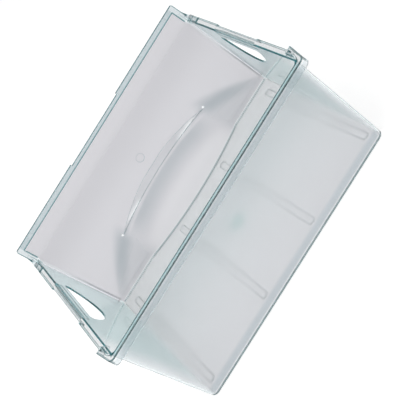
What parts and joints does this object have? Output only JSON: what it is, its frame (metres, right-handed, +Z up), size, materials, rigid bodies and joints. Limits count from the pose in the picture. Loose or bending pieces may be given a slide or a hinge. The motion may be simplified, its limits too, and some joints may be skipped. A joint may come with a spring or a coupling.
{
  "type": "freezer drawer",
  "caption": "Clear open-topped freezer drawer moulded in one piece, with a taller front panel, a finger recess, hand holes in its sides and flanges that hang on cabinet guides.",
  "frame": {"origin": "under the middle of the drawer, on the level that its floor rests on", "axes": "+X across the drawer, -Y towards the front panel, +Z up"},
  "size_m": [0.473, 0.381, 0.2075],
  "materials": {
    "clear_plastic": "clear polystyrene, polished, with a fine matt grain on the front panel and the floor"
  },
  "bodies": {
    "root": {"drawer": "clear_plastic"}
  },
  "joints": []
}
